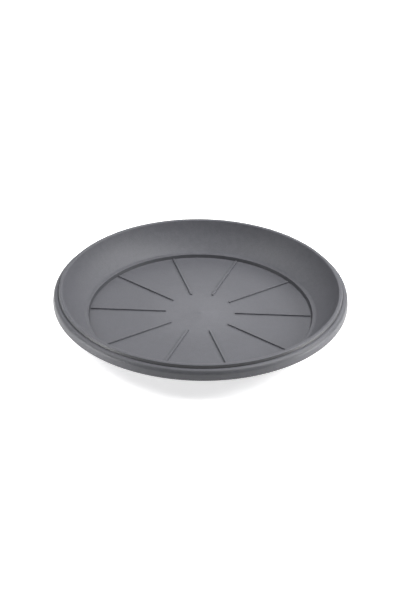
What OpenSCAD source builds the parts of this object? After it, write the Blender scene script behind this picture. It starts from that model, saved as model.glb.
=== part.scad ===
// Round plant saucer, moulded in one piece from matte grey plastic.
// A recessed floor with radial pot ribs, a low step, a curved side wall, and a rim
// made of an upstanding bead, a rounded shoulder and a turned-down skirt.
// Each zone of the moulding is a solid of its own that meets its neighbours face to face.
// Millimetres, +Z up, origin on the table under the middle of the dish.

/* [Dish] */
// Diameter across the lower edge of the rim's skirt
rim_d = 302; // [242:10:362]
// Height from the table to the top of the rim's bead
total_h = 38; // [34:0.5:44]
// Distance from the floor's edge out to the lower edge of the skirt
rim_reach = 36; // [33:1:43]
// Thickness of the floor, the step and the side wall
shell_t = 2.5; // [2:0.1:3]
// Angle that the side wall's curve turns through from its foot to the bead
wall_sweep = 36; // [20:1:40]

/* [Step] */
// Height of the step around the floor
step_h = 4; // [3:0.5:5]
// How far the step leans outwards over its height
step_draft = 1.2; // [0.6:0.1:1.5]
// Width of the flat ledge between the step and the side wall
ledge_w = 3; // [2:0.5:4]

/* [Ribs] */
// Number of ribs that hold a pot clear of the floor
rib_count = 10; // [6:1:12]
// Width of a rib
rib_w = 2.2; // [1.8:0.1:4]
// Height of a rib above the floor
rib_h = 1.5; // [1.2:0.1:2.5]
// Distance from the middle of the dish to the inner end of a rib
rib_start = 36; // [24:2:50]
// Gap between the outer end of a rib and the step
rib_gap = 0.5; // [0.5:0.5:3]

/* [Rim] */
// Thickness of the shoulder and the skirt
rim_t = 2.2; // [1.8:0.1:2.4]
// Width of the bead at its base
bead_w = 4.4; // [4:0.1:6]
// Height of the bead above the shoulder
bead_h = 3.3; // [2:0.1:3.5]
// Radius of the shoulder's rounded edge
shoulder_round = 4.8; // [3.5:0.1:6]
// Height from the skirt's lower edge to the top of the shoulder
skirt_h = 10; // [8:0.5:12]
// Angle by which the skirt leans outwards on its way down
skirt_lean = 8; // [0:1:16]

/* [Underside] */
// Height of the foot rings under the floor
foot_h = 1; // [0.8:0.1:2]
// Width of a foot ring
foot_w = 3; // [2:0.5:4]
// Mean radius of the inner foot ring
inner_foot_r = 61; // [50:1:66]

/* [Gate] */
// Diameter of the low button that the moulding gate leaves in the middle of the floor
gate_d = 6; // [4:1:8]
// Height of the gate's button
gate_h = 0.4; // [0.2:0.1:0.6]

/* [Hidden] */
$fn = 180;
plastic = [0.29, 0.29, 0.31];

// Roundings and leans that follow from how the piece leaves its mould
bead_round = 1;
bead_draft = 0.5;
shoulder_flat = 0.4;
skirt_round = 0.7;
rib_round = 0.3;
base_chamfer = 1;
foot_round = 0.4;

// Heights above the table
floor_top_z = foot_h + shell_t;
ledge_z = floor_top_z + step_h;
shoulder_z = total_h - bead_h;
bead_base_z = shoulder_z - rim_t;
lip_z = total_h - bead_round;
skirt_low_z = shoulder_z - skirt_h;
straight_z = skirt_low_z + 2 * skirt_round;

// Skirt: it leaves the shoulder's round where that has turned down to the skirt's lean
lean_dir = [cos(skirt_lean), sin(skirt_lean)];
lean_z = shoulder_z - shoulder_round * (1 - lean_dir.y);
skirt_reach = shoulder_round * lean_dir.x + (lean_z - straight_z) * tan(skirt_lean);

// Radii from the middle of the dish
rim_r = rim_d / 2;
floor_r = rim_r - rim_reach;
step_top_r = floor_r + step_draft;
skirt_in_r = rim_r - rim_t / cos(skirt_lean);
bead_out_r = rim_r - skirt_reach - shoulder_flat;
bead_in_r = bead_out_r - bead_w;
base_r = floor_r + shell_t;
outer_foot_r = base_r - base_chamfer;

// Side wall: one arc from the ledge up to the inner edge of the bead
wall_foot = [step_top_r + ledge_w, ledge_z];
wall_lip = [bead_in_r, lip_z];
wall_chord = wall_lip - wall_foot;
foot_slope = atan2(wall_chord.y, wall_chord.x) - wall_sweep / 2;
wall_arc_r = norm(wall_chord) / (2 * sin(wall_sweep / 2));
wall_arc_c = wall_foot + wall_arc_r * [-sin(foot_slope), cos(foot_slope)];
wall_heel = wall_foot + shell_t * [sin(foot_slope), -cos(foot_slope)];

// Shoulder: part of a ring in section, concentric with the rounded edge of the rim
shoulder_c = [bead_out_r + shoulder_flat, shoulder_z - shoulder_round];
lean_out = shoulder_c + shoulder_round * lean_dir;
lean_in = lean_out - rim_t * lean_dir;

// Gate button: the cap of a ball that meets the floor at gate_d
gate_ball_r = (gate_d * gate_d / 4 + gate_h * gate_h) / (2 * gate_h);

rib_len = floor_r - rib_gap - rib_start;
rib_names = [for (i = [1 : rib_count]) str("pot_rib_", i < 10 ? "0" : "", i)];

// The turned-over outer rim is divided into quarters, anticlockwise from +X, front towards -Y
quarters = ["back_right", "back_left", "front_left", "front_right"];
shoulder_names = [for (quarter = quarters) str("rim_shoulder_", quarter)];
skirt_names = [for (quarter = quarters) str("rim_skirt_", quarter)];
ring_names = [
    "floor_plate", "step_ring", "side_wall", "rim_bead", "outer_foot_ring", "inner_foot_ring"
];

// A bar in section with its two upper corners rounded, standing on y = 0 around x = 0
module round_topped(width, height, round) {
    translate([-width / 2, 0]) square([width, height - round]);
    translate([round - width / 2, 0]) square([width - 2 * round, height]);
    for (side = [-1, 1]) translate([side * (width / 2 - round), height - round]) circle(round);
}

// Flat round floor with the gate's low button in its middle
module floor_plate() {
    color(plastic) rotate_extrude() {
        translate([0, foot_h]) square([floor_r, shell_t]);
        intersection() {
            translate([0, floor_top_z + gate_h - gate_ball_r]) circle(gate_ball_r);
            translate([0, floor_top_z]) square([gate_d / 2, gate_h]);
        }
    }
}

// Step that lifts the wall above the floor, with the ledge on its top
module step_ring() {
    color(plastic) rotate_extrude() polygon([
        [floor_r, foot_h],
        [base_r - base_chamfer, foot_h],
        [base_r, foot_h + base_chamfer],
        [step_top_r + shell_t, ledge_z - shell_t],
        wall_heel,
        wall_foot,
        [step_top_r, ledge_z],
        [floor_r, floor_top_z]
    ]);
}

// The dish's inside in section: everything within the side wall's inner arc
module wall_inside() {
    translate(wall_arc_c) circle(wall_arc_r);
}

// Curved side wall, cut square to its arc at the foot and level under the bead
module side_wall() {
    foot_ray = wall_foot - wall_arc_c;
    level_share = (wall_arc_c.y - bead_base_z) / (wall_arc_c.y - ledge_z);
    ray_at_base = wall_arc_c + foot_ray * level_share;
    below_heel = wall_arc_c + foot_ray * (1 + 2 * shell_t / wall_arc_r);
    color(plastic) rotate_extrude() intersection() {
        difference() {
            translate(wall_arc_c) circle(wall_arc_r + shell_t);
            wall_inside();
        }
        polygon([ray_at_base, below_heel, [rim_r, below_heel.y], [rim_r, bead_base_z]]);
    }
}

// Upstanding bead that crowns the side wall
module rim_bead() {
    bead_top_out_r = bead_out_r - bead_draft;
    crown_w = bead_top_out_r - bead_in_r;
    color(plastic) rotate_extrude() difference() {
        union() {
            polygon([
                [bead_in_r - bead_w, bead_base_z],
                [bead_out_r, bead_base_z],
                [bead_out_r, shoulder_z],
                [bead_top_out_r, lip_z],
                [bead_in_r - bead_w, lip_z]
            ]);
            translate([bead_in_r + crown_w / 2, shoulder_z])
                round_topped(crown_w, bead_h, bead_round);
        }
        wall_inside();
    }
}

// A quarter turn of a section, counted anticlockwise from +X
module quarter_turn(index) {
    rotate(index * 90) rotate_extrude(angle = 90) children();
}

// Quarter of the narrow shoulder outside the bead that rounds over into the skirt
module rim_shoulder(index) {
    color(plastic) quarter_turn(index) {
        translate([bead_out_r, bead_base_z]) square([shoulder_flat, rim_t]);
        intersection() {
            translate(shoulder_c) difference() {
                circle(shoulder_round);
                circle(shoulder_round - rim_t);
            }
            translate(shoulder_c) polygon(2 * shoulder_round * [[0, 0], lean_dir, [1, 1], [0, 1]]);
        }
    }
}

// What rounding takes off a lower right corner at the origin
module corner_off(round) {
    difference() {
        translate([-round, -round]) square(2 * round);
        translate([-round, round]) circle(round);
    }
}

// Quarter of the turned-down skirt with its rounded lower edge
module rim_skirt(index) {
    color(plastic) quarter_turn(index) difference() {
        polygon([
            lean_in,
            lean_out,
            [rim_r, straight_z],
            [rim_r, skirt_low_z],
            [skirt_in_r, skirt_low_z],
            [skirt_in_r, straight_z]
        ]);
        translate([rim_r, skirt_low_z]) corner_off(skirt_round);
        translate([skirt_in_r, skirt_low_z]) mirror([1, 0]) corner_off(skirt_round);
    }
}

// Low ring under the floor, given by its inner radius
module foot_ring(inner_r) {
    color(plastic) rotate_extrude()
        translate([inner_r + foot_w / 2, foot_h]) mirror([0, 1]) round_topped(foot_w, foot_h, foot_round);
}

// Ring at the edge of the base that the saucer stands on
module outer_foot_ring() {
    foot_ring(outer_foot_r - foot_w);
}

// Smaller ring that keeps the middle of the floor from sagging
module inner_foot_ring() {
    foot_ring(inner_foot_r - foot_w / 2);
}

// One radial rib on the floor, counted anticlockwise from +X
module pot_rib(index) {
    color(plastic) rotate(index * 360 / rib_count) translate([rib_start, 0, floor_top_z])
        rotate([90, 0, 90]) linear_extrude(rib_len) round_topped(rib_w, rib_h, rib_round);
}

floor_plate();
step_ring();
side_wall();
rim_bead();
outer_foot_ring();
inner_foot_ring();
for (i = [0 : len(quarters) - 1]) {
    rim_shoulder(i);
    rim_skirt(i);
}
for (i = [0 : rib_count - 1]) {
    pot_rib(i);
}
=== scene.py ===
# %% [markdown]
# # A round plant saucer
# The saucer is one injection moulding of matte anthracite plastic. It has a flat floor with ten ribs
# that keep a pot out of the water, a low step, a curved wall, and a rim that stands up as a bead and
# then turns down into a skirt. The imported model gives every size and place. In this lesson each zone
# of the moulding is modelled again with its small roundings, then given a finish and lit.

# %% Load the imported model
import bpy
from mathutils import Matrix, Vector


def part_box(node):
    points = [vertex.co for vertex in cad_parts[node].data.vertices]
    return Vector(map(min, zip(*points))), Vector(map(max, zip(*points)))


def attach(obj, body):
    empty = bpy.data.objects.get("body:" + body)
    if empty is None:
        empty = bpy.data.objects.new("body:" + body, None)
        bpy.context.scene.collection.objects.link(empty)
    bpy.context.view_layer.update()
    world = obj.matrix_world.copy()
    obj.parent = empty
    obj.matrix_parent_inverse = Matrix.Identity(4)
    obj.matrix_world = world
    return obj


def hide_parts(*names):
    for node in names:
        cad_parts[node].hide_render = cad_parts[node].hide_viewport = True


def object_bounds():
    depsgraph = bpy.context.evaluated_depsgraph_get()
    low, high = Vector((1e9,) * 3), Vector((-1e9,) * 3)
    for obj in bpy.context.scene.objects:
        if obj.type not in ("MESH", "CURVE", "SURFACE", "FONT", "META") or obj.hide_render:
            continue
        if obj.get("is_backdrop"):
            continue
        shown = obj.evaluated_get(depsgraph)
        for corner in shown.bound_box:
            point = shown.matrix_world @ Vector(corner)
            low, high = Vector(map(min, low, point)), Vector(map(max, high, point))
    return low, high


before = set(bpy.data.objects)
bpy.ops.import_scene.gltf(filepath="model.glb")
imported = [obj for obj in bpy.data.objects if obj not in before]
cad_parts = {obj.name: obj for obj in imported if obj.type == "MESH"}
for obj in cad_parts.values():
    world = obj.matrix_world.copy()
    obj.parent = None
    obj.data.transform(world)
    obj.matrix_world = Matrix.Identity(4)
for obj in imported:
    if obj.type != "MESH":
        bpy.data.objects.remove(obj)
cad_low, cad_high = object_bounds()
print("CAD nodes:", len(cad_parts), "box:", cad_low, cad_high)

# %% Other tools of this lesson
import math

import bmesh
import bpy
from mathutils import Quaternion, Vector

MM = 0.001

# %% [markdown]
# ## The camera
# The camera comes first, so that each render can be laid beside the photograph. The view was found by
# fitting a perspective to the ellipses of the rim, the step and the floor. It is a long lens about a
# metre away that looks down at some 31 degrees, with the picture turned a little. The lens is shifted
# slightly, because the dish does not stand in the very middle of the picture.

# %% Camera
PICTURE = (400, 600)
AIM_PIXEL = (200.7, 294.8)
LENS = 65.4
VIEW_DISTANCE = 1.125
VIEW_ELEVATION = math.radians(31.49)
VIEW_TURN = math.radians(2.17)
VIEW_ROLL = math.radians(0.85)
AIM_HEIGHT = 24.9 * MM
aim = Vector((0, 0, AIM_HEIGHT))

level = math.cos(VIEW_ELEVATION)
to_camera = Vector((math.sin(VIEW_TURN) * level, -math.cos(VIEW_TURN) * level, math.sin(VIEW_ELEVATION)))
facing = to_camera.to_track_quat("Z", "Y") @ Quaternion((0, 0, 1), VIEW_ROLL)

bpy.ops.object.camera_add(location=aim + VIEW_DISTANCE * to_camera, rotation=facing.to_euler())
camera = bpy.context.object
camera.name = "product_camera"
camera.data.lens = LENS
camera.data.shift_x = (PICTURE[0] / 2 - AIM_PIXEL[0]) / max(PICTURE)
camera.data.shift_y = (AIM_PIXEL[1] - PICTURE[1] / 2) / max(PICTURE)
bpy.context.scene.camera = camera
print("camera at", camera.location, "lens", camera.data.lens)

# %% [markdown]
# ## Measures of the dish
# The dish is round, so a section through one side describes nearly all of it. The section's corners
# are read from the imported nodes: a node's points at one height give the radii of its faces there.
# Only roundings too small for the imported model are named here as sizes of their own.

# %% Corners of the section
SAME_HEIGHT = 0.002 * MM


def radii_at(node, height):
    """Smallest and largest distance from the axis of a node's points at one height."""
    points = [vert.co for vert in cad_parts[node].data.vertices]
    radii = [math.hypot(co.x, co.y) for co in points if abs(co.z - height) < SAME_HEIGHT]
    return min(radii), max(radii)


def low_and_high(node):
    """Heights of a node's lowest and highest points."""
    low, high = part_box(node)
    return low.z, high.z


base_z, gate_top_z = low_and_high("floor_plate")
floor_z = low_and_high("pot_rib_01")[0]
ledge_z = low_and_high("step_ring")[1]
heel_z = low_and_high("side_wall")[0]
wall_top_z, bead_top_z = low_and_high("rim_bead")
shoulder_low_z, shoulder_z = low_and_high("rim_shoulder_front_right")
skirt_low_z, skirt_top_z = low_and_high("rim_skirt_front_right")

shell = floor_z - base_z
floor_r = radii_at("floor_plate", floor_z)[1]
step_top_r, wall_foot_r = radii_at("step_ring", ledge_z)
heel_r = radii_at("side_wall", heel_z)[0]
wall_top_in_r, wall_top_out_r = radii_at("side_wall", wall_top_z)
bead_out_r = radii_at("rim_bead", wall_top_z)[1]
turn_in = (radii_at("rim_shoulder_front_right", shoulder_low_z)[0], shoulder_low_z)
turn_out = (radii_at("rim_skirt_front_right", skirt_top_z)[1], skirt_top_z)
rim_t = math.dist(turn_in, turn_out)
rim_r = cad_high.x
print(f"floor to r {floor_r / MM:.1f} mm, rim to r {rim_r / MM:.1f} mm, bead top {bead_top_z / MM:.1f} mm")

# %% [markdown]
# ## Drawing a section and turning it
# On a lathe a dish grows from a profile that is turned about an axis, and Blender's Spin does the same.
# Each zone starts as a primitive that is merged to a single point, which is extruded from corner to
# corner of the section. Filling the outline for a moment lets Bevel round its corners. A full turn then
# makes the solid, its seam is merged, and its normals are made to point outwards.

# %% Tools for a turned piece
TURN_STEPS = 360
SAME_POINT = 0.001 * MM
SMOOTH_BELOW = math.radians(35)


def start_section(name, corner):
    """Begin a piece as one point of its section, in edit mode."""
    bpy.ops.object.select_all(action="DESELECT")
    bpy.ops.mesh.primitive_plane_add(size=MM)
    piece = bpy.context.object
    piece.name = piece.data.name = name
    bpy.ops.object.mode_set(mode="EDIT")
    bpy.ops.mesh.merge(type="CENTER")
    bpy.ops.transform.translate(value=(corner[0], 0, corner[1]))
    return piece


def draw_on(piece, *corners):
    """Extrude the last point of the section to the next corners, each a radius and a height."""
    for radius, height in corners:
        pen = next(vert.co for vert in bmesh.from_edit_mesh(piece.data).verts if vert.select)
        leg = (radius - pen.x, 0, height - pen.z)
        bpy.ops.mesh.extrude_region_move(TRANSFORM_OT_translate={"value": leg})


def draw_arc(centre, angle, steps):
    """Spin the last point of the section about a centre, clockwise for a positive angle."""
    middle = (centre[0], 0, centre[1])
    bpy.ops.mesh.spin(steps=steps, angle=angle, center=middle, axis=(0, -1, 0))


def close_section():
    """Join the section's last point to its first and fill the outline."""
    bpy.ops.mesh.select_all(action="SELECT")
    bpy.ops.mesh.edge_face_add()


def round_corner(piece, corner, radius, segments=4):
    """Round one corner of a filled section."""
    mesh = bmesh.from_edit_mesh(piece.data)
    place = Vector((corner[0], 0, corner[1]))
    vert = min(mesh.verts, key=lambda v: (v.co - place).length)
    one, other = (edge.other_vert(vert).co - vert.co for edge in vert.link_edges)
    turn = math.pi - one.angle(other)
    bpy.ops.mesh.select_all(action="DESELECT")
    vert.select_set(True)
    bmesh.update_edit_mesh(piece.data)
    reach = radius * math.tan(turn / 2)
    bpy.ops.mesh.bevel(offset=reach, offset_type="OFFSET", segments=segments, affect="VERTICES")


def turn_section(piece):
    """Turn the section once about the dish's axis and leave edit mode with a smooth, closed piece."""
    bpy.ops.mesh.select_all(action="SELECT")
    bpy.ops.mesh.delete(type="ONLY_FACE")
    bpy.ops.mesh.select_all(action="SELECT")
    bpy.ops.mesh.spin(steps=TURN_STEPS, angle=2 * math.pi, center=(0, 0, 0), axis=(0, 0, 1))
    bpy.ops.mesh.select_all(action="SELECT")
    bpy.ops.mesh.remove_doubles(threshold=SAME_POINT)
    bpy.ops.mesh.normals_make_consistent(inside=False)
    bpy.ops.object.mode_set(mode="OBJECT")
    bpy.ops.object.shade_smooth_by_angle(angle=SMOOTH_BELOW)
    print(f"{piece.name}: {len(piece.data.vertices)} points, {len(piece.data.polygons)} faces")
    return piece


# %% [markdown]
# ## Floor
# The floor is a flat disc with a low button in its middle, where the plastic entered the mould. Over the
# foot ring on its underside, and where the ribs begin, the plastic shrank as it cooled: two shallow rings
# show there as faint lines. The piece ends on the flat just inside the step, so that its joint with the
# step cannot be seen.

# %% Floor
FLAT_BEFORE_STEP = 0.8 * MM
GATE_R = 3 * MM
GATE_STEPS = 6
SINK_HALF_WIDTH = 2 * MM
FOOT_SINK = 0.05 * MM
RIB_SINK = 0.03 * MM
floor_edge_r = floor_r - FLAT_BEFORE_STEP
gate_h = gate_top_z - floor_z
gate_ball_r = (GATE_R ** 2 + gate_h ** 2) / (2 * gate_h)
foot_sink_r = sum(radii_at("inner_foot_ring", base_z)) / 2
rib_sink_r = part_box("pot_rib_01")[0].x


def sink(radius, depth):
    """Three points of a shallow ring in the floor, from its outer to its inner edge."""
    outer, inner = radius + SINK_HALF_WIDTH, radius - SINK_HALF_WIDTH
    return (outer, floor_z), (radius, floor_z - depth), (inner, floor_z)


floor = start_section("floor_moulding", (0, base_z))
draw_on(floor, (floor_edge_r, base_z), (floor_edge_r, floor_z))
draw_on(floor, *sink(foot_sink_r, FOOT_SINK), *sink(rib_sink_r, RIB_SINK), (GATE_R, floor_z))
draw_arc((0, gate_top_z - gate_ball_r), -math.asin(GATE_R / gate_ball_r), GATE_STEPS)
close_section()
turn_section(floor)

# %% [markdown]
# ## Step
# A low step lifts the wall off the floor and stiffens the base. Mould makers lean such a face outwards
# a little and round its corners, so that the piece can leave the mould. The step ends on its ledge, right
# behind the rounded corner, and everything beyond belongs to the wall.

# %% Step
STEP_FOOT_ROUND = 0.3 * MM
STEP_TOP_ROUND = 0.5 * MM
LEDGE_ON_STEP = 0.45 * MM
BASE_CHAMFER = 1 * MM
BASE_ROUND = 0.8 * MM
ledge_joint = (step_top_r + LEDGE_ON_STEP, ledge_z)
under_ledge = (step_top_r + shell, ledge_z - shell)
under_joint = ((under_ledge[0] + heel_r) / 2, (under_ledge[1] + heel_z) / 2)
base_out_r = floor_r + shell

step = start_section("step_moulding", (floor_edge_r, base_z))
draw_on(step, (base_out_r - BASE_CHAMFER, base_z), (base_out_r, base_z + BASE_CHAMFER), under_ledge)
draw_on(step, under_joint, ledge_joint, (step_top_r, ledge_z), (floor_r, floor_z), (floor_edge_r, floor_z))
close_section()
round_corner(step, (step_top_r, ledge_z), STEP_TOP_ROUND)
round_corner(step, (floor_r, floor_z), STEP_FOOT_ROUND)
round_corner(step, (base_out_r, base_z + BASE_CHAMFER), BASE_ROUND)
turn_section(step)

# %% [markdown]
# ## Wall
# Inside, the wall is one hollow arc from the ledge up to the bead. Its foot is cut square to the arc, so
# the cut points at the arc's centre, and the top of the wall then fixes the radius. The arc is drawn in
# equal steps, and the wall stops halfway along one of them: the bead goes on in the same direction from
# there, so no joint shows. A wide rounding at the foot takes up the ledge, and the wall grows out of it
# without a crease.

# %% Circle of the wall
foot = Vector((wall_foot_r, ledge_z))
heel = Vector((heel_r, heel_z))
across = Vector((wall_top_in_r, wall_top_z)) - foot
inwards = (foot - heel).normalized()
wall_arc_r = across.length_squared / (2 * across.dot(inwards))
wall_centre = foot + wall_arc_r * inwards


def on_wall(angle, depth=0.0):
    """A point of the wall's arc, or of the one that lies a depth outside it."""
    far = wall_arc_r + depth
    return (wall_centre[0] + far * math.cos(angle), wall_centre[1] + far * math.sin(angle))


def wall_angle(height, depth=0.0):
    """Where on the arc the wall reaches a height."""
    return math.asin((height - wall_centre[1]) / (wall_arc_r + depth))


WALL_STEPS = 24
LIP_DROP = 1 * MM
foot_angle, lip_angle = wall_angle(ledge_z), wall_angle(bead_top_z - LIP_DROP)
wall_step = (lip_angle - foot_angle) / WALL_STEPS
joint_step = math.floor((wall_angle(wall_top_z) - foot_angle) / wall_step)
below_joint, above_joint = (on_wall(foot_angle + (joint_step + n) * wall_step) for n in (0, 1))
wall_joint = ((below_joint[0] + above_joint[0]) / 2, (below_joint[1] + above_joint[1]) / 2)
out_joint_angle = wall_angle(wall_joint[1], shell)
print(f"wall arc of {wall_arc_r / MM:.1f} mm, joint at {wall_joint[1] / MM:.2f} mm")

# %% Wall
WALL_FOOT_ROUND = 8 * MM

wall = start_section("wall_moulding", ledge_joint)
draw_on(wall, (wall_foot_r, ledge_z))
draw_arc(wall_centre, -joint_step * wall_step, joint_step)
draw_on(wall, wall_joint, on_wall(out_joint_angle, shell))
draw_arc(wall_centre, out_joint_angle - foot_angle, joint_step)
draw_on(wall, under_joint)
close_section()
round_corner(wall, (wall_foot_r, ledge_z), WALL_FOOT_ROUND, segments=8)
turn_section(wall)

# %% [markdown]
# ## Bead
# The bead crowns the wall. Its inner side carries the wall's arc on, its outer side leans in a little,
# and its edges are rounded, so it is pleasant to hold. A fine groove sets it off from the shoulder.

# %% Bead
BEAD_LEAN = 0.5 * MM
BEAD_OUT_ROUND = 1 * MM
BEAD_IN_ROUND = 1.2 * MM
BEAD_FOOT_ROUND = 0.2 * MM
BEAD_GROOVE = 0.4 * MM
SHOULDER_FLAT = 0.4 * MM
bead_in_top = (on_wall(lip_angle)[0] - LIP_DROP * math.tan(lip_angle), bead_top_z)
bead_out_top = (bead_out_r - BEAD_LEAN, bead_top_z)
bead_foot = (bead_out_r, shoulder_z - BEAD_GROOVE)
shoulder_joint_r = bead_out_r + SHOULDER_FLAT

bead = start_section("bead_moulding", wall_joint)
draw_on(bead, above_joint)
draw_arc(wall_centre, -(WALL_STEPS - joint_step - 1) * wall_step, WALL_STEPS - joint_step - 1)
draw_on(bead, bead_in_top, bead_out_top, bead_foot, (shoulder_joint_r, shoulder_z))
draw_on(bead, (shoulder_joint_r, shoulder_z - rim_t), (wall_top_out_r, shoulder_z - rim_t))
draw_on(bead, on_wall(out_joint_angle, shell))
close_section()
round_corner(bead, bead_in_top, BEAD_IN_ROUND)
round_corner(bead, bead_out_top, BEAD_OUT_ROUND)
round_corner(bead, bead_foot, BEAD_FOOT_ROUND)
turn_section(bead)

# %% [markdown]
# ## Shoulder and skirt
# Outside the bead the rim turns over: the shoulder is a wide quarter round that runs into a skirt, which
# hangs down, leans out a little as the mould needs, and stiffens the edge. The joint between the two lies
# on the skirt's straight side, so that the round stays whole. Where the skirt turns upright near its lower
# edge, the bend is rounded so widely that it hardly shows.

# %% Shoulder
SKIRT_ON_SHOULDER = 0.5 * MM
ARC_STEPS = 12
lean = math.atan2(turn_out[1] - turn_in[1], turn_out[0] - turn_in[0])
shoulder_round = (shoulder_z - turn_out[1]) / (1 - math.sin(lean))
turn_centre = (shoulder_joint_r, shoulder_z - shoulder_round)
down_skirt = (SKIRT_ON_SHOULDER * math.sin(lean), -SKIRT_ON_SHOULDER * math.cos(lean))
joint_out = (turn_out[0] + down_skirt[0], turn_out[1] + down_skirt[1])
joint_in = (turn_in[0] + down_skirt[0], turn_in[1] + down_skirt[1])

shoulder = start_section("shoulder_moulding", (shoulder_joint_r, shoulder_z))
draw_arc(turn_centre, math.pi / 2 - lean, ARC_STEPS)
draw_on(shoulder, joint_out, joint_in, turn_in)
draw_arc(turn_centre, lean - math.pi / 2, ARC_STEPS)
close_section()
turn_section(shoulder)
print(f"shoulder radius {shoulder_round / MM:.1f} mm, skirt leans out by {math.degrees(lean):.1f} degrees")

# %% Skirt
SKIRT_ROUND = 0.7 * MM
SKIRT_BEND_ROUND = 3 * MM
skirt_in_r = rim_r - rim_t / math.cos(lean)
straight_z = skirt_low_z + 2 * SKIRT_ROUND

skirt = start_section("skirt_moulding", joint_out)
draw_on(skirt, (rim_r, straight_z), (rim_r, skirt_low_z), (skirt_in_r, skirt_low_z))
draw_on(skirt, (skirt_in_r, straight_z), joint_in)
close_section()
round_corner(skirt, (rim_r, skirt_low_z), SKIRT_ROUND)
round_corner(skirt, (skirt_in_r, skirt_low_z), SKIRT_ROUND)
round_corner(skirt, (rim_r, straight_z), SKIRT_BEND_ROUND)
turn_section(skirt)

# %% [markdown]
# ## Foot rings
# The dish stands on a low ring under the edge of its base, and a smaller ring keeps the middle of the
# floor from sagging. Both lean in on their way down and have rounded edges.

# %% Foot rings
FOOT_LEAN = 0.2 * MM
FOOT_ROUND = 0.4 * MM


def foot_ring(name, node):
    """Turn a foot ring in the place of its node."""
    low_z, high_z = low_and_high(node)
    in_r, out_r = radii_at(node, high_z)
    low_in, low_out = (in_r + FOOT_LEAN, low_z), (out_r - FOOT_LEAN, low_z)
    ring = start_section(name, (in_r, high_z))
    draw_on(ring, low_in, low_out, (out_r, high_z))
    close_section()
    round_corner(ring, low_in, FOOT_ROUND)
    round_corner(ring, low_out, FOOT_ROUND)
    return turn_section(ring)


outer_foot = foot_ring("outer_foot_moulding", "outer_foot_ring")
inner_foot = foot_ring("inner_foot_moulding", "inner_foot_ring")

# %% [markdown]
# ## Ribs
# Ten thin ribs lie on the floor like the spokes of a wheel. One is made from a cube: its top is drawn in
# as a mould needs, then its upright and upper edges are rounded, only a little, because the real ones are
# crisp. The others are copies, each turned about the dish's axis.

# %% First rib
RIB_LEAN = 0.1 * MM
RIB_END_ROUND = 0.4 * MM
RIB_TOP_ROUND = 0.25 * MM
SAME_LENGTH = 0.01 * MM
rib_low, rib_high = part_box("pot_rib_01")
rib_size = rib_high - rib_low

bpy.ops.object.select_all(action="DESELECT")
bpy.ops.mesh.primitive_cube_add(size=1, location=(rib_low + rib_high) / 2, scale=rib_size)
rib = bpy.context.object
rib.name = rib.data.name = "rib_moulding_01"
bpy.ops.object.transform_apply(location=True, rotation=True, scale=True)


def select_edges(piece, wanted):
    """Select the edges in edit mode whose two ends pass a test, and say how many there are."""
    mesh = bmesh.from_edit_mesh(piece.data)
    bpy.ops.mesh.select_mode(type="EDGE")
    bpy.ops.mesh.select_all(action="DESELECT")
    chosen = [edge for edge in mesh.edges if wanted(edge.verts[0].co, edge.verts[1].co)]
    for edge in chosen:
        edge.select_set(True)
    bmesh.update_edit_mesh(piece.data)
    return len(chosen)


def near(a, b):
    """Whether two lengths are the same but for rounding."""
    return abs(a - b) < SAME_LENGTH


bpy.ops.object.mode_set(mode="EDIT")
select_edges(rib, lambda a, b: near(a.z, rib_high.z) and near(b.z, rib_high.z))
top_scale = (1 - 2 * RIB_LEAN / rib_size.x, 1 - 2 * RIB_LEAN / rib_size.y, 1)
bpy.ops.transform.resize(value=top_scale, center_override=(rib_low + rib_high) / 2)
upright = select_edges(rib, lambda a, b: not near(a.z, b.z))
bpy.ops.mesh.bevel(offset=RIB_END_ROUND, offset_type="OFFSET", segments=4, affect="EDGES")
upper = select_edges(rib, lambda a, b: near(a.z, rib_high.z) and near(b.z, rib_high.z))
bpy.ops.mesh.bevel(offset=RIB_TOP_ROUND, offset_type="OFFSET", segments=3, affect="EDGES")
bpy.ops.object.mode_set(mode="OBJECT")
bpy.ops.object.shade_smooth_by_angle(angle=SMOOTH_BELOW)
print("first rib:", upright, "upright and", upper, "upper edges rounded")

# %% The other ribs
rib_nodes = sorted(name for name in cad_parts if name.startswith("pot_rib_"))
ribs = [rib]


def middle_of(piece):
    """Middle of a piece's box."""
    corners = [Vector(corner) for corner in piece.bound_box]
    return sum(corners, Vector()) / len(corners)


for node in rib_nodes[1:]:
    bpy.ops.object.select_all(action="DESELECT")
    rib.select_set(True)
    bpy.context.view_layer.objects.active = rib
    bpy.ops.object.duplicate()
    copy = bpy.context.object
    copy.name = copy.data.name = node.replace("pot_rib", "rib_moulding")
    low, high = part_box(node)
    place = (low + high) / 2
    angle = math.atan2(place.y, place.x)
    bpy.ops.transform.rotate(value=-angle, orient_axis="Z", center_override=(0, 0, 0))
    bpy.ops.object.transform_apply(location=True, rotation=True, scale=True)
    ribs.append(copy)
    print(copy.name, "is off its node by", f"{(middle_of(copy) - place).length / MM:.3f} mm")

# %% [markdown]
# ## Plastic
# The whole saucer is one anthracite plastic, a dark grey with a trace of blue. Most faces took a fine
# grain from the mould. On the step, the bead's outer side and the skirt the plastic is made smoother, and
# there its steep faces are painted darker: painted shade. Towards the middle of the floor the grey is
# painted paler: a painted highlight.
# All of this depends on place and slope alone, so one material can serve every zone. Nodes are added by a
# small helper that sets numbers and joins sockets alike.

# %% Tools for a finish
def add_node(material, kind, inputs, **settings):
    """Add a node. Each input is given a number, a colour or another node's output."""
    tree = material.node_tree
    node = tree.nodes.new(kind)
    for name, value in settings.items():
        setattr(node, name, value)
    for name, value in inputs.items():
        if isinstance(value, bpy.types.NodeSocket):
            tree.links.new(value, node.inputs[name])
        else:
            node.inputs[name].default_value = value
    return node


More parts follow.
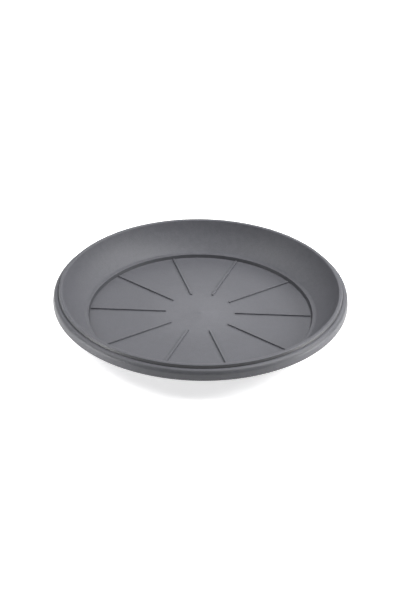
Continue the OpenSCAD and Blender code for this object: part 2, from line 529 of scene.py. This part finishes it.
def rise(material, value, start, end, low=0.0, high=1.0):
    """A soft rise from low to high while a value goes from start to end."""
    limits = {"From Min": start, "From Max": end, "To Min": low, "To Max": high}
    soft = {"interpolation_type": "SMOOTHSTEP"}
    return add_node(material, "ShaderNodeMapRange", {"Value": value, **limits}, **soft).outputs["Result"]


def calculate(material, operation, one, other=0.0):
    """The result of a sum on one or two numbers."""
    return add_node(material, "ShaderNodeMath", {0: one, 1: other}, operation=operation).outputs[0]


def blend(material, share, one, other, blend_type="MIX"):
    """A mix of two colours."""
    inputs = {"Factor": share, 6: one, 7: other}
    return add_node(material, "ShaderNodeMix", inputs, data_type="RGBA", blend_type=blend_type).outputs[2]


# %% [markdown]
# ## Where the plastic is smoothed and painted with shade
# A first set of nodes finds the distance from the axis and the slope of a face. On the step, and from the
# bead's outer side to the edge of the rim, a face counts as polished where it is steep enough: it is made
# smoother and painted darker, as painted shade. The limits are soft, and on the rim they reach far up the
# shoulder's round, so the shoulder and the skirt read as one band. The rim takes only a share of the polish
# and painted shade, because a full one made its sides look striped. Floor, ribs and wall are grained.

# %% Upright faces
STEP_UPRIGHT, STEP_LEANING = 0.32, 0.45
BEAD_UPRIGHT, BEAD_LEANING = 0.45, 0.8
RIM_UPRIGHT, RIM_LEANING = 0.77, 0.97
RIM_SHARE = 0.6
POLISH_AND_SHADE_EDGE = 0.4 * MM
plastic = bpy.data.materials.new("anthracite_plastic")
plastic.use_nodes = True
shader = plastic.node_tree.nodes["Principled BSDF"]

place = add_node(plastic, "ShaderNodeTexCoord", {}).outputs["Object"]
normal = add_node(plastic, "ShaderNodeNewGeometry", {}).outputs["Normal"]
flattened = add_node(plastic, "ShaderNodeVectorMath", {0: place, 1: (1, 1, 0)}, operation="MULTIPLY")
from_axis = add_node(plastic, "ShaderNodeVectorMath", {0: flattened.outputs[0]}, operation="LENGTH")
radius = from_axis.outputs["Value"]
slope = calculate(plastic, "ABSOLUTE", add_node(plastic, "ShaderNodeSeparateXYZ", {0: normal}).outputs["Z"])

past_floor = rise(plastic, radius, floor_r - POLISH_AND_SHADE_EDGE, floor_r - 0.2 * POLISH_AND_SHADE_EDGE)
before_wall = rise(plastic, radius, step_top_r + 2 * POLISH_AND_SHADE_EDGE, step_top_r + POLISH_AND_SHADE_EDGE)
on_step = calculate(plastic, "MULTIPLY", past_floor, before_wall)
step_polish_and_shade = calculate(plastic, "MULTIPLY", on_step, rise(plastic, slope, STEP_LEANING, STEP_UPRIGHT))

past_wall = rise(plastic, radius, bead_out_r - 3 * POLISH_AND_SHADE_EDGE, bead_out_r - 2 * POLISH_AND_SHADE_EDGE)
before_shoulder = rise(plastic, radius, bead_out_r + POLISH_AND_SHADE_EDGE, bead_out_r + 0.5 * POLISH_AND_SHADE_EDGE)
on_bead = calculate(plastic, "MULTIPLY", past_wall, before_shoulder)
bead_polish_and_shade = calculate(plastic, "MULTIPLY", on_bead, rise(plastic, slope, BEAD_LEANING, BEAD_UPRIGHT))

past_bead = rise(plastic, radius, bead_out_r + 0.5 * POLISH_AND_SHADE_EDGE, bead_out_r + POLISH_AND_SHADE_EDGE, 0, RIM_SHARE)
rim_polish_and_shade = calculate(plastic, "MULTIPLY", past_bead, rise(plastic, slope, RIM_LEANING, RIM_UPRIGHT))
# The sum is the share of smoothing and of painted shade on each face.
polish_and_shade = calculate(plastic, "ADD", step_polish_and_shade, calculate(plastic, "ADD", bead_polish_and_shade, rim_polish_and_shade))
print(f"polished: step at r {step_top_r / MM:.1f} mm, bead's side and rim from r {bead_out_r / MM:.1f} mm")

# %% [markdown]
# ## Colour, gloss and grain
# The colour is a grained grey, painted paler towards the middle of the floor as a painted highlight, and
# clouded by two noises: one of a few millimetres, as flow leaves it, and one of the grain's own size. On
# upright faces it is painted darker, as painted shade. The wide noise also varies the roughness, and the
# fine one gives the grain its relief.

# %% Colour, gloss and grain
# GRAINED is the plastic's own grey; the next grey is a painted highlight, the darker one painted shade.
GRAINED = (0.085, 0.086, 0.096, 1)
PAINTED_HIGHLIGHT_GREY = (0.104, 0.105, 0.116, 1)
PAINTED_SHADE_GREY = (0.03, 0.0305, 0.034, 1)
HIGHLIGHT_FROM, HIGHLIGHT_TO = 75 * MM, 12 * MM
CLOUDS_PER_M, GRAINS_PER_M = 180, 1100
NOISE_LOW, NOISE_HIGH = 0.3, 0.7
CLOUD_TONES, GRAIN_TONES = (0.95, 1.05), (0.93, 1.07)
GRAINED_ROUGHNESS = (0.5, 0.58)
SMOOTHED_BY_POLISH = 0.15
GRAIN_HEIGHT = 0.03 * MM
GRAINED_RELIEF, POLISHED_RELIEF = 0.4, 0.08
PLASTIC_IOR = 1.49
PLASTIC_SPECULAR = 0.3


def noise(per_metre):
    """A noise with about so many bumps to the metre."""
    inputs = {"Vector": place, "Scale": per_metre, "Detail": 3}
    return add_node(plastic, "ShaderNodeTexNoise", inputs).outputs[0]


clouds, grains = noise(CLOUDS_PER_M), noise(GRAINS_PER_M)
# Paler towards the middle of the floor: a painted highlight.
painted_highlight_share = rise(plastic, radius, HIGHLIGHT_FROM, HIGHLIGHT_TO)
tone = blend(plastic, painted_highlight_share, GRAINED, PAINTED_HIGHLIGHT_GREY)
cloud_tone = rise(plastic, clouds, NOISE_LOW, NOISE_HIGH, *CLOUD_TONES)
grain_tone = rise(plastic, grains, NOISE_LOW, NOISE_HIGH, *GRAIN_TONES)
clouded = blend(plastic, 1, tone, calculate(plastic, "MULTIPLY", cloud_tone, grain_tone), "MULTIPLY")
# Steep faces of the step, the bead's side and the rim take the darker grey: painted shade.
colour = blend(plastic, polish_and_shade, clouded, PAINTED_SHADE_GREY)

grained = rise(plastic, clouds, NOISE_LOW, NOISE_HIGH, *GRAINED_ROUGHNESS)
smoothed = calculate(plastic, "MULTIPLY", polish_and_shade, SMOOTHED_BY_POLISH)
roughness = calculate(plastic, "SUBTRACT", grained, smoothed)
relief = rise(plastic, polish_and_shade, 0, 1, GRAINED_RELIEF, POLISHED_RELIEF)
bump = add_node(plastic, "ShaderNodeBump", {"Strength": relief, "Distance": GRAIN_HEIGHT, "Height": grains})

plastic.node_tree.links.new(colour, shader.inputs["Base Color"])
plastic.node_tree.links.new(roughness, shader.inputs["Roughness"])
plastic.node_tree.links.new(bump.outputs["Normal"], shader.inputs["Normal"])
shader.inputs["IOR"].default_value = PLASTIC_IOR
shader.inputs["Specular IOR Level"].default_value = PLASTIC_SPECULAR
print("plastic made of", len(plastic.node_tree.nodes), "nodes")

# %% [markdown]
# ## Hand the pieces over
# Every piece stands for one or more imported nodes, rides on the only body and takes the plastic's slot.

# %% Hand over
rim_quarters = ("back_right", "back_left", "front_left", "front_right")
stands_for = {
    floor: ["floor_plate"],
    step: ["step_ring"],
    wall: ["side_wall"],
    bead: ["rim_bead"],
    shoulder: [f"rim_shoulder_{quarter}" for quarter in rim_quarters],
    skirt: [f"rim_skirt_{quarter}" for quarter in rim_quarters],
    outer_foot: ["outer_foot_ring"],
    inner_foot: ["inner_foot_ring"],
    **{piece: [node] for piece, node in zip(ribs, rib_nodes)},
}
for piece, nodes in stands_for.items():
    piece.data.materials.clear()
    piece.data.materials.append(plastic)
    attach(piece, "root")
    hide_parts(*nodes)
print(len(stands_for), "pieces stand for", sum(len(nodes) for nodes in stands_for.values()), "nodes")

# %% [markdown]
# ## Floor of the studio
# Small products are often photographed on a white acrylic sheet that is also lit a little from below, so
# that their shadow stays faint. The floor here is such a sheet: a plane far larger than the picture, matt
# and white, with a soft glow of its own. It lies at the height of the foot rings.

# %% Studio floor
STUDIO_SIZE = 60
TABLE_GLOW = 0.62
ACRYLIC_WHITE = (0.9, 0.9, 0.9, 1)
ACRYLIC_ROUGHNESS = 0.9
PURE_WHITE = (1, 1, 1, 1)
bpy.ops.object.select_all(action="DESELECT")
bpy.ops.mesh.primitive_plane_add(size=STUDIO_SIZE, location=(0, 0, cad_low.z))
studio_floor = bpy.context.object
studio_floor.name = "studio_floor"
acrylic = bpy.data.materials.new("white_acrylic")
acrylic.use_nodes = True
sheet = acrylic.node_tree.nodes["Principled BSDF"]
sheet.inputs["Base Color"].default_value = ACRYLIC_WHITE
sheet.inputs["Roughness"].default_value = ACRYLIC_ROUGHNESS
sheet.inputs["Emission Color"].default_value = PURE_WHITE
sheet.inputs["Emission Strength"].default_value = TABLE_GLOW
studio_floor.data.materials.append(acrylic)
studio_floor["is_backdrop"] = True
print("studio floor", STUDIO_SIZE, "m wide at height", cad_low.z)

# %% [markdown]
# ## Light
# Each light is a soft box, a flat lamp that faces the dish from some direction. Their powers were found by
# rendering the dish under one soft box at a time and mixing those renders until they came close to the
# photograph. Two strong ones on the right leave some ribs bright and some dark. Low ones on the left and
# the right graze the skirt and give it its two highlights, while its front stays dark.

# %% Light
BOX_DISTANCE = 1.3
LOW_BOX_DISTANCE = 1.1
STRIP_DISTANCE = 0.45
STRIP_SIZE = (0.2, 0.024)


def softbox(name, azimuth, elevation, distance, size, power):
    """A soft box that looks at the dish from a direction given in degrees; its size is width and height."""
    turn, tilt = math.radians(azimuth), math.radians(elevation)
    away = Vector((math.cos(turn) * math.cos(tilt), math.sin(turn) * math.cos(tilt), math.sin(tilt)))
    facing_dish = away.to_track_quat("Z", "Y").to_euler()
    bpy.ops.object.light_add(type="AREA", location=away * distance, rotation=facing_dish)
    light = bpy.context.object
    light.name = light.data.name = name
    light.data.shape = "RECTANGLE"
    light.data.size, light.data.size_y = size
    light.data.energy = power
    return light


lights = [
    softbox("right_light", 0, 33, BOX_DISTANCE, (0.6, 0.4), 13.9),
    softbox("high_right_light", 0, 65, BOX_DISTANCE, (0.6, 0.5), 16.3),
    softbox("back_right_light", 40, 25, BOX_DISTANCE, (0.6, 0.4), 3.2),
    softbox("left_light", 190, 48, BOX_DISTANCE, (0.6, 0.5), 10.9),
    softbox("low_left_light", 195, 8, LOW_BOX_DISTANCE, (0.4, 0.25), 2.5),
    softbox("back_left_light", 150, 25, BOX_DISTANCE, (0.6, 0.4), 1.4),
    softbox("back_light", 88, 33, BOX_DISTANCE, (0.9, 0.4), 3.6),
    softbox("left_strip", 208, 2, STRIP_DISTANCE, STRIP_SIZE, 0.8),
    softbox("right_strip", 345, 2, STRIP_DISTANCE, STRIP_SIZE, 1),
]
print(len(lights), "soft boxes of", sum(light.data.energy for light in lights), "W in all")

# %% [markdown]
# ## Light from all around
# The walls of a studio send a little light back from every side, which keeps the darkest corners from going
# black. The colours go into the picture unchanged, as plain product photographs need.

# %% Light from all around
AIR_LIGHT = 0.02
world = bpy.data.worlds.new("studio_air")
world.use_nodes = True
bpy.context.scene.world = world
sky = world.node_tree.nodes["Background"]
sky.inputs["Color"].default_value = PURE_WHITE
sky.inputs["Strength"].default_value = AIR_LIGHT
bpy.context.scene.view_settings.view_transform = "Standard"
print("light from all around:", AIR_LIGHT)

# %% [markdown]
# ## Size of the finished piece
# The boxes of the imported dish and of the dressed one are both printed. The dressed dish must not
# outgrow the imported one.

# %% Size
low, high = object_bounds()
print("dressed box:", low, high)
